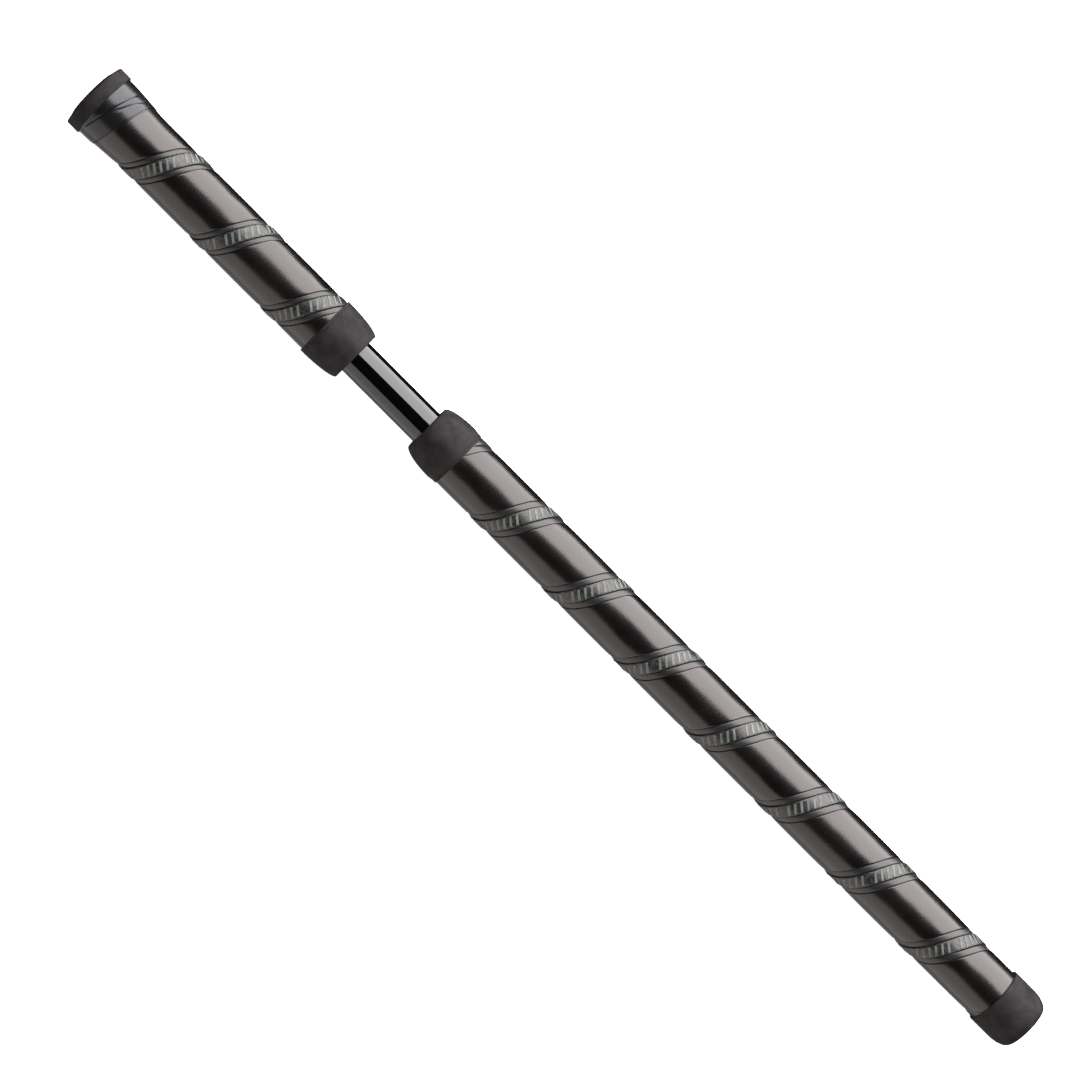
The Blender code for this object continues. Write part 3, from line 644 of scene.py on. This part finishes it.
rib_laying = rib_laying_tree()
rib_rubber = grained_finish(
    "rib_rubber",
    dark=(0.042, 0.048, 0.043),
    light=(0.100, 0.111, 0.101),
    patch=3 * MM,
    roughness=(0.5, 0.7),
    grain=0.2 * MM,
    depth=0.015 * MM,
)
lower_ribs = ribs_on(
    "lower_band_ribs", lower_sizes, wrap_high.x - RIB_END_MARGIN, wrap_low.x + RIB_END_MARGIN
)
add_piece("lower_band_ribs", lower_ribs, "long_grip", "grip_wrap")


# The collar at the long grip's face: charcoal rubber, moulded as one barrel-shaped ring with a thin
# lip at the back that hides the wrap's end. It is pushed on over the shaft and bonded to the sleeve.
ON_SHAFT_RADIUS = SHAFT_RADIUS + 0.3 * MM
LIP_WIDTH = 1.1 * MM
LIP_RISE = 0.12 * MM
LOWER_COLLAR_RADIUS = 13.27 * MM
LOWER_COLLAR_FACE_RADIUS = 9.87 * MM
LOWER_COLLAR_CROWN = 13.8 * MM
LOWER_COLLAR_BACK_RADIUS = 12.95 * MM
LIP_OVERHANG = 0.38 * MM
LIP_CLEARANCE = 0.04 * MM
LIP_BREAK = 0.2 * MM

charcoal_rubber = grained_finish(
    "charcoal_rubber",
    dark=(0.0046, 0.0039, 0.0041),
    light=(0.0150, 0.0130, 0.0134),
    patch=5 * MM,
    roughness=(0.62, 0.8),
    grain=0.35 * MM,
    depth=0.035 * MM,
    Specular_IOR_Level=0.16,
    Specular_Tint=(1.0, 0.94, 0.95, 1.0),
)


def rounding(x, radius, reach_along, reach_out, first, last, steps):
    """Points on an ellipse about (x, radius). At 0 degrees it points to +X, at 90 away from the axis."""
    points = []
    for step in range(steps + 1):
        angle = math.radians(first + (last - first) * step / steps)
        points.append((x + reach_along * math.cos(angle), radius + reach_out * math.sin(angle)))
    return points


def eased_to(points, x, radius, steps=6):
    """Carries an outline on to (x, radius) by an easing curve that leaves and arrives level."""
    from_x, from_radius = points[-1]
    for step in range(1, steps + 1):
        share = step / steps
        ease = share * share * (3 - 2 * share)
        points.append((from_x + (x - from_x) * share, from_radius + (radius - from_radius) * ease))
    return points


collar_low, collar_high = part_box("lower_collar")
barrel = rounding(
    collar_low.x + LOWER_COLLAR_CROWN,
    LOWER_COLLAR_FACE_RADIUS,
    LOWER_COLLAR_CROWN,
    LOWER_COLLAR_RADIUS - LOWER_COLLAR_FACE_RADIUS,
    first=180,
    last=90,
    steps=24,
)
barrel = eased_to(barrel, collar_high.x - LIP_WIDTH, LOWER_COLLAR_BACK_RADIUS)
lower_collar_outline = [(collar_low.x, ON_SHAFT_RADIUS + EDGE_BREAK)] + barrel
lower_collar_outline += [
    (collar_high.x - LIP_WIDTH * 0.86, LOWER_COLLAR_BACK_RADIUS - LIP_RISE),
    (collar_high.x - LIP_WIDTH * 0.72, LOWER_COLLAR_BACK_RADIUS - LIP_RISE * 0.2),
    (collar_high.x + LIP_OVERHANG * 0.5, LOWER_COLLAR_BACK_RADIUS),
    (collar_high.x + LIP_OVERHANG, LOWER_COLLAR_BACK_RADIUS - LIP_BREAK),
    (collar_high.x + LIP_OVERHANG, LOWER_GRIP_RADIUS + LIP_CLEARANCE),
    (collar_high.x, LOWER_GRIP_RADIUS + LIP_CLEARANCE),
    (collar_high.x, ON_SHAFT_RADIUS),
    (collar_low.x + EDGE_BREAK, ON_SHAFT_RADIUS),
]
add_piece(
    "lower_barrel_collar",
    turned("lower_barrel_collar", lower_collar_outline, charcoal_rubber),
    "long_grip",
    "charcoal_rubber",
    "lower_collar",
)


# The tip cap: a thick cup of the same charcoal rubber, pushed over the shaft's end and the plug in it.
# Its edge stands a little proud of the wrap, and its end is rounded so that it can be tapped down.
TIP_CAP_RADIUS = 13.0 * MM
TIP_FACE_RADIUS = 9.6 * MM
TIP_SHOULDER = 8.1 * MM
CAP_EDGE_ROUNDING = 0.45 * MM
PLUG_CLEARANCE = 0.3 * MM
tip_low, tip_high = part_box("tip_cap")
plug_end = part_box("tip_plug")[1].x + PLUG_CLEARANCE
tip_outline = [(tip_high.x, 0.0)]
tip_outline += rounding(
    tip_high.x - TIP_SHOULDER,
    TIP_FACE_RADIUS,
    TIP_SHOULDER,
    TIP_CAP_RADIUS - TIP_FACE_RADIUS,
    first=0,
    last=90,
    steps=20,
)
tip_outline += rounding(
    tip_low.x + CAP_EDGE_ROUNDING - LIP_OVERHANG,
    TIP_CAP_RADIUS - CAP_EDGE_ROUNDING,
    CAP_EDGE_ROUNDING,
    CAP_EDGE_ROUNDING,
    first=90,
    last=180,
    steps=5,
)
tip_outline += [
    (tip_low.x - LIP_OVERHANG, LOWER_GRIP_RADIUS - LOWER_TAPER_DROP + LIP_CLEARANCE),
    (tip_low.x, LOWER_GRIP_RADIUS - LOWER_TAPER_DROP + LIP_CLEARANCE),
    (tip_low.x, ON_SHAFT_RADIUS),
    (plug_end, ON_SHAFT_RADIUS),
    (plug_end, 0.0),
]
add_piece(
    "rounded_tip_cap",
    turned("rounded_tip_cap", tip_outline, charcoal_rubber),
    "long_grip",
    "charcoal_rubber",
    "tip_cap",
)


# The swing weight in the tip end of the shaft: a turned steel slug, a rubber retainer behind it and an
# acetal plug that closes the tube. They are slid in from the tip and bonded.
turned_steel = grained_finish(
    "turned_steel",
    dark=(0.50, 0.50, 0.51),
    light=(0.60, 0.60, 0.61),
    patch=4 * MM,
    roughness=(0.22, 0.36),
    grain=0.5 * MM,
    depth=0.003 * MM,
    stretch=(6.0, 0.3, 0.3),
    Metallic=1.0,
)
black_acetal = grained_finish(
    "black_acetal",
    dark=(0.022, 0.022, 0.023),
    light=(0.034, 0.034, 0.035),
    patch=6 * MM,
    roughness=(0.35, 0.5),
    grain=0.4 * MM,
    depth=0.004 * MM,
)
refinish(turned_steel, "counterweight")
refinish(charcoal_rubber, "weight_retainer")
refinish(black_acetal, "tip_plug")


# What turns on the shaft's inner end: a natural nylon cup that guides the upper handle's tube, a steel
# washer and a rubber damper. A shoulder screw in a threaded aluminium insert holds them on the shaft.
tube_aluminium = grained_finish(
    "drawn_aluminium",
    dark=(0.66, 0.67, 0.69),
    light=(0.76, 0.77, 0.79),
    patch=5 * MM,
    roughness=(0.28, 0.42),
    grain=0.6 * MM,
    depth=0.002 * MM,
    stretch=(0.2, 3.0, 3.0),
    Metallic=1.0,
)
natural_nylon = grained_finish(
    "natural_nylon",
    dark=(0.66, 0.63, 0.54),
    light=(0.74, 0.71, 0.62),
    patch=8 * MM,
    roughness=(0.4, 0.55),
    grain=0.5 * MM,
    depth=0.006 * MM,
)
refinish(natural_nylon, "end_guide")
refinish(turned_steel, "thrust_washer", "shoulder_screw")
refinish(charcoal_rubber, "damper_ring")
refinish(tube_aluminium, "shaft_insert")


# The return spring: round spring-steel wire, cold wound, with a closed turn at each end. It stands
# loose in the upper handle's tube between the guide and the butt plug.
SPRING_WIRE_RADIUS = 0.5 * MM
SPRING_TURNS = 12
SPRING_POINTS_PER_TURN = 48
CLOSED_TURN_GAP = 0.3 * MM
spring_low, spring_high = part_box("return_spring")
spring_radius = (spring_high.y - spring_low.y) / 2 - SPRING_WIRE_RADIUS
closed_rise = 2 * SPRING_WIRE_RADIUS + CLOSED_TURN_GAP
open_length = spring_high.x - spring_low.x - 2 * SPRING_WIRE_RADIUS - 2 * closed_rise
open_rise = open_length / (SPRING_TURNS - 2)
wire = bpy.data.curves.new("spring_wire", "CURVE")
wire.dimensions = "3D"
wire.bevel_depth = SPRING_WIRE_RADIUS
wire.bevel_resolution = 2
wire.use_fill_caps = True
coil = wire.splines.new("POLY")
coil.points.add(SPRING_TURNS * SPRING_POINTS_PER_TURN)
for index, point in enumerate(coil.points):
    turn = index / SPRING_POINTS_PER_TURN
    open_turns = min(max(turn - 1, 0), SPRING_TURNS - 2)
    rise = closed_rise * (turn - open_turns)
    along = spring_low.x + SPRING_WIRE_RADIUS + rise + open_rise * open_turns
    point.co = (*on_axis(along, spring_radius, 2 * math.pi * turn), 1.0)
wire_source = bpy.data.objects.new("spring_wire", wire)
bpy.context.scene.collection.objects.link(wire_source)
graph = bpy.context.evaluated_depsgraph_get()
spring_mesh = bpy.data.meshes.new_from_object(wire_source.evaluated_get(graph))
bpy.data.objects.remove(wire_source)
shape = bmesh.new()
shape.from_mesh(spring_mesh)
bmesh.ops.remove_doubles(shape, verts=shape.verts, dist=0.001 * MM)
settle(shape, spring_mesh, sharp_from=40)
spring_mesh.materials.clear()
spring_mesh.materials.append(turned_steel)
spring = add_piece("wound_return_spring", spring_mesh, "swivel_guide", "bright_steel", "return_spring")
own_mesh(spring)


# The upper handle's core: a drawn aluminium tube, with an acetal bush pinned in its front that runs on
# the shaft, and an acetal plug pinned in its butt.
refinish(tube_aluminium, "core_tube")
refinish(black_acetal, "front_bush", "butt_plug")
refinish(turned_steel, "bush_pin_left", "bush_pin_right", "plug_pin")


# The upper handle's wrap: the same strip as on the long grip, wound three turns up to a flare at the
# butt, and ribbed on its band in the same way.
upper_low, upper_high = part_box("upper_grip_wrap")
UPPER_GRIP_RADIUS = 12.7 * MM
CORE_SKIN_RADIUS = 11.02 * MM
FLARE_LENGTH = 23.4 * MM
FLARE_RISE = 1.37 * MM
SLEEVE_STEP = 0.5 * MM
CUFF_THICKNESS = 0.3 * MM
UPPER_PITCH = 39.1 * MM
UPPER_BAND_PLACE = -212.0 * MM
UPPER_RAIL_EDGE = 5.6 * MM
upper_sizes = {
    "Start": upper_low.x,
    "End": upper_high.x,
    "Grip radius": UPPER_GRIP_RADIUS,
    "Flare rise": FLARE_RISE - CUFF_THICKNESS,
    "Flare length": FLARE_LENGTH,
    "Taper drop": 0.0,
    "Taper length": 1.0,
    "Axis height": AXIS_HEIGHT,
    "Pitch": UPPER_PITCH,
    "Band place": UPPER_BAND_PLACE,
}
sleeve_end = upper_low.x + FLARE_LENGTH / 2
upper_wrap = wound_wrap(
    "upper_wound_wrap",
    UPPER_RAIL_EDGE,
    wrap_finish("upper_wrap_polymer", UPPER_RAIL_EDGE),
    upper_sizes,
    [
        (upper_low.x, UPPER_GRIP_RADIUS + FLARE_RISE - WRAP_THICKNESS),
        (sleeve_end, UPPER_GRIP_RADIUS + FLARE_RISE / 2 - WRAP_THICKNESS),
        (sleeve_end + SLEEVE_STEP, CORE_SKIN_RADIUS),
        (upper_high.x, CORE_SKIN_RADIUS),
    ],
)
add_piece("upper_wound_wrap", upper_wrap, "upper_handle", "grip_wrap", "upper_grip_wrap")
upper_ribs = ribs_on(
    "upper_band_ribs", upper_sizes, upper_high.x - RIB_END_MARGIN, upper_low.x + FLARE_LENGTH
)
add_piece("upper_band_ribs", upper_ribs, "upper_handle", "grip_wrap")


# The cuff that finishes the wrap at the butt: a thin smooth strip laid over the first turn, cut off on
# a spiral, with two pressed lines and a pressed groove by its edge. Its cut ends meet at the back, a
# hair apart. The edge and the lines each have a distance from the cap and a rise in a turn.
CUFF_BACK = math.radians(-150)
CUFF_TURN = 2 * math.pi - 0.004
CUFF_STEPS = 144
CUFF_EDGE = (15.6 * MM, -16.5 * MM)
FIRST_LINE = (13.15 * MM, -32.8 * MM)
SECOND_LINE = (8.6 * MM, -19.0 * MM)
LINE_DEPTH = 0.27 * MM
LINE_HALF_WIDTH = 0.42 * MM
LINE_RUN_OUT = 0.9 * MM
CUFF_SUNK = 0.35 * MM
# The edge cut across, as (distance back from the edge, depth under the skin).
CUFF_EDGE_SHAPE = (
    (1.0 * MM, 0.0),
    (0.8 * MM, 0.02 * MM),
    (0.65 * MM, 0.3 * MM),
    (0.35 * MM, 0.3 * MM),
    (0.2 * MM, 0.02 * MM),
    (0.0, 0.12 * MM),
)


def spiral(line, angle):
    """The station at one angle of a line on the cuff."""
    return upper_low.x + line[0] + line[1] * angle / (2 * math.pi)


def flared_radius(x):
    """The handle's radius over its wrap, out to the flare at the cap."""
    share = min((x - upper_low.x) / FLARE_LENGTH, 1.0)
    return UPPER_GRIP_RADIUS + FLARE_RISE * (0.5 + 0.5 * math.cos(math.pi * share))


def level_to(points, x):
    """Carries a column on at the skin's height to this station, with points between to follow the flare."""
    from_x = points[-1][0]
    points += [(from_x + (x - from_x) * share, 0.0) for share in (0.25, 0.5, 0.75)]


def cuff_column(angle):
    """(x, depth under the skin) points across the cuff at one angle, from the cap to its spiral edge. A
    line fades out where it runs into the cap, the other line or the edge."""
    edge = spiral(CUFF_EDGE, angle)
    furthest = edge - CUFF_EDGE_SHAPE[0][0] - LINE_HALF_WIDTH
    points = [(upper_low.x, 0.0)]
    for line in (SECOND_LINE, FIRST_LINE):
        wanted = spiral(line, angle)
        nearest = points[-1][0] + LINE_HALF_WIDTH
        room = max(min(wanted - nearest, furthest - wanted), 0.0)
        depth = LINE_DEPTH * min(room / LINE_RUN_OUT, 1.0)
        centre = min(max(wanted, nearest), furthest)
        level_to(points, centre - LINE_HALF_WIDTH)
        for share in (-1.0, -0.5, 0.0, 0.5, 1.0):
            points.append((centre + share * LINE_HALF_WIDTH, depth * (1 - abs(share))))
    level_to(points, edge - CUFF_EDGE_SHAPE[0][0])
    return points + [(edge - back, depth) for back, depth in CUFF_EDGE_SHAPE]


shape = bmesh.new()
columns = []
for step in range(CUFF_STEPS + 1):
    angle = CUFF_BACK + CUFF_TURN * step / CUFF_STEPS
    outer, inner = [], []
    for x, depth in cuff_column(angle):
        skin = flared_radius(x) + CUFF_THICKNESS * min((x - upper_low.x) / FLARE_LENGTH, 1.0)
        outer.append(shape.verts.new(on_axis(x, skin - depth, angle)))
        inner.append(shape.verts.new(on_axis(x, skin - CUFF_THICKNESS - CUFF_SUNK, angle)))
    columns.append(outer + inner[::-1])
for one, other in zip(columns, columns[1:]):
    for row in range(len(one)):
        following = (row + 1) % len(one)
        shape.faces.new((one[row], one[following], other[following], other[row]))
for ending in (columns[0], columns[-1]):
    half = len(ending) // 2
    for row in range(half - 1):
        shape.faces.new((ending[row], ending[row + 1], ending[-row - 2], ending[-row - 1]))
bmesh.ops.remove_doubles(shape, verts=shape.verts, dist=0.002 * MM)
cuff_mesh = bpy.data.meshes.new("butt_cuff")
settle(shape, cuff_mesh, sharp_from=50)
cuff_mesh.materials.append(
    grained_finish(
        "cuff_polymer",
        dark=(0.003, 0.003, 0.0036),
        light=(0.006, 0.006, 0.0072),
        patch=20 * MM,
        roughness=(0.24, 0.31),
        grain=0.5 * MM,
        depth=0.012 * MM,
        Specular_IOR_Level=0.36,
        Specular_Tint=(0.97, 0.95, 1.0, 1.0),
    )
)
add_piece("butt_cuff", cuff_mesh, "upper_handle", "grip_wrap")


# The upper handle's collar: charcoal rubber, moulded tapering towards the shaft, with a thin lip where
# it meets the wrap. Its face bears on the bush, and it is the buffer when the gap closes.
UPPER_COLLAR_RADIUS = 13.52 * MM
UPPER_COLLAR_FACE_RADIUS = 10.82 * MM
UPPER_LIP_BREAK = 0.25 * MM
COLLAR_END_WALL = 2.2 * MM
upper_collar_low, upper_collar_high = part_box("upper_collar")
collar_length = upper_collar_high.x - upper_collar_low.x
bell = rounding(
    upper_collar_low.x,
    UPPER_COLLAR_FACE_RADIUS,
    collar_length,
    UPPER_COLLAR_RADIUS - UPPER_COLLAR_FACE_RADIUS,
    first=0,
    last=86,
    steps=24,
)
lip_x, lip_radius = bell[-1]
upper_collar_outline = [(upper_collar_high.x, ON_SHAFT_RADIUS + EDGE_BREAK)] + bell
upper_collar_outline += [
    (lip_x - LIP_WIDTH * 0.1, lip_radius - LIP_RISE),
    (lip_x - LIP_WIDTH * 0.24, lip_radius),
    (upper_collar_low.x - LIP_OVERHANG * 0.6, UPPER_COLLAR_RADIUS),
    (upper_collar_low.x - LIP_OVERHANG, UPPER_COLLAR_RADIUS - UPPER_LIP_BREAK),
    (upper_collar_low.x - LIP_OVERHANG, UPPER_GRIP_RADIUS + LIP_CLEARANCE),
    (upper_collar_low.x, UPPER_GRIP_RADIUS + LIP_CLEARANCE),
    (upper_collar_low.x, CORE_SKIN_RADIUS),
    (upper_collar_high.x - COLLAR_END_WALL, CORE_SKIN_RADIUS),
    (upper_collar_high.x - COLLAR_END_WALL, ON_SHAFT_RADIUS),
    (upper_collar_high.x - EDGE_BREAK, ON_SHAFT_RADIUS),
]
add_piece(
    "upper_bell_collar",
    turned("upper_bell_collar", upper_collar_outline, charcoal_rubber),
    "upper_handle",
    "charcoal_rubber",
    "upper_collar",
)


# The butt cap: a charcoal rubber disc with a broad rounded rim, on a stem that is pressed into the
# butt plug. Its face has the shallow dish that lets the mould's core out.
BUTT_CAP_RADIUS = 14.86 * MM
BUTT_FACE_RADIUS = 10.16 * MM
BUTT_RIM = 1.3 * MM
BUTT_CAP_LENGTH = 6.6 * MM
STEM_RADIUS = 4.0 * MM
DISH_RADIUS = 5.5 * MM
DISH_DEPTH = 0.35 * MM
DISH_SLOPE = 0.4 * MM
cap_low, cap_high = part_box("butt_cap")
cap_inner = cap_low.x + BUTT_CAP_LENGTH
cap_outline = [
    (cap_high.x, 0.0),
    (cap_high.x, STEM_RADIUS - EDGE_BREAK),
    (cap_high.x - EDGE_BREAK, STEM_RADIUS),
    (cap_inner, STEM_RADIUS),
    (cap_inner, UPPER_GRIP_RADIUS + FLARE_RISE + LIP_CLEARANCE),
    (cap_inner + LIP_OVERHANG, UPPER_GRIP_RADIUS + FLARE_RISE + LIP_CLEARANCE),
]
cap_outline += rounding(
    cap_inner + LIP_OVERHANG - CAP_EDGE_ROUNDING,
    BUTT_CAP_RADIUS - CAP_EDGE_ROUNDING,
    CAP_EDGE_ROUNDING,
    CAP_EDGE_ROUNDING,
    first=0,
    last=90,
    steps=5,
)
cap_outline += [
    (cap_low.x + BUTT_RIM + 0.25 * MM, BUTT_CAP_RADIUS),
    (cap_low.x + BUTT_RIM, BUTT_CAP_RADIUS - 0.08 * MM),
    (cap_low.x + BUTT_RIM - 0.2 * MM, BUTT_CAP_RADIUS - 0.4 * MM),
    (cap_low.x + 0.14 * MM, BUTT_FACE_RADIUS + 0.3 * MM),
    (cap_low.x, BUTT_FACE_RADIUS),
    (cap_low.x, DISH_RADIUS + DISH_SLOPE),
    (cap_low.x + DISH_DEPTH, DISH_RADIUS),
    (cap_low.x + DISH_DEPTH, 0.0),
]
add_piece(
    "butt_end_cap",
    turned("butt_end_cap", cap_outline, charcoal_rubber),
    "upper_handle",
    "charcoal_rubber",
    "butt_cap",
)


# The studio: a plain white table that the stick lies on, a long bright softbox on its +Y side, a dim
# warm one and a faint low one on its -Y side, and nothing overhead, so that the gloss has dark bands.
TABLE_SIZE = 8.0
TABLE_GLOW = 0.82
TABLE_WHITES = (0.88, 0.88, 0.88), (0.91, 0.91, 0.91)
LAMP_REACH = 1.1
LAMP_LENGTH = 1.75
LAMPS_FROM_MIDDLE = 0.15
WARM_WHITE = (1.0, 0.96, 0.93)
STUDIO_DARK = (0.012, 0.012, 0.012, 1.0)
table_mesh = bpy.data.meshes.new("white_table")
half = TABLE_SIZE / 2
table_height = AXIS_HEIGHT - BUTT_CAP_RADIUS
corners = [(-half, -half), (half, -half), (half, half), (-half, half)]
table_mesh.from_pydata([(x, y, table_height) for x, y in corners], [], [(0, 1, 2, 3)])
table_finish, table_tree, table_shader = new_finish(
    "white_table", Roughness=0.9, Emission_Color=(1.0, 1.0, 1.0, 1.0), Emission_Strength=TABLE_GLOW
)
paper = noise(table_tree, stretched(table_tree, UNSTRETCHED), 300.0)
paper_white = blended(table_tree, paper, *TABLE_WHITES)
table_tree.links.new(paper_white, table_shader.inputs["Base Color"])
table_mesh.materials.append(table_finish)
table = bpy.data.objects.new("white_table", table_mesh)
bpy.context.scene.collection.objects.link(table)
table.visible_glossy = False


def softbox(name, first, last, brightness, colour):
    """A long lamp beside the stick, across the sky from one angle to another. The angles are in degrees
    from straight up, positive towards +Y. The brightness is per unit of the lamp's area."""
    edges = [
        Vector((0.0, math.sin(angle), math.cos(angle))) * LAMP_REACH
        for angle in (math.radians(first), math.radians(last))
    ]
    middle = (edges[0] + edges[1]) / 2
    width = (edges[1] - edges[0]).length
    along = Vector((1.0, 0.0, 0.0))
    up = (edges[1] - edges[0]).normalized()
    back = along.cross(up)
    if back.dot(middle) < 0:
        up = -up
        back = -back
    lamp = bpy.data.lights.new(name, "AREA")
    lamp.shape = "RECTANGLE"
    lamp.size = LAMP_LENGTH
    lamp.size_y = width
    lamp.energy = brightness * math.pi * LAMP_LENGTH * width
    lamp.color = colour
    box = bpy.data.objects.new(name, lamp)
    place = Matrix.Translation(middle + Vector((LAMPS_FROM_MIDDLE, 0.0, AXIS_HEIGHT)))
    box.matrix_world = place @ Matrix((along, up, back)).transposed().to_4x4()
    box.visible_camera = False
    bpy.context.scene.collection.objects.link(box)


softbox("bright_softbox", 25, 108, 9.2, (1.0, 1.0, 1.0))
softbox("dim_softbox", -45, -120, 1.8, WARM_WHITE)
softbox("low_fill", -120, -165, 0.5, WARM_WHITE)
world = bpy.data.worlds.new("dark_studio")
world.use_nodes = True
world.node_tree.nodes["Background"].inputs["Color"].default_value = STUDIO_DARK
bpy.context.scene.world = world
bpy.context.scene.view_settings.view_transform = "Standard"
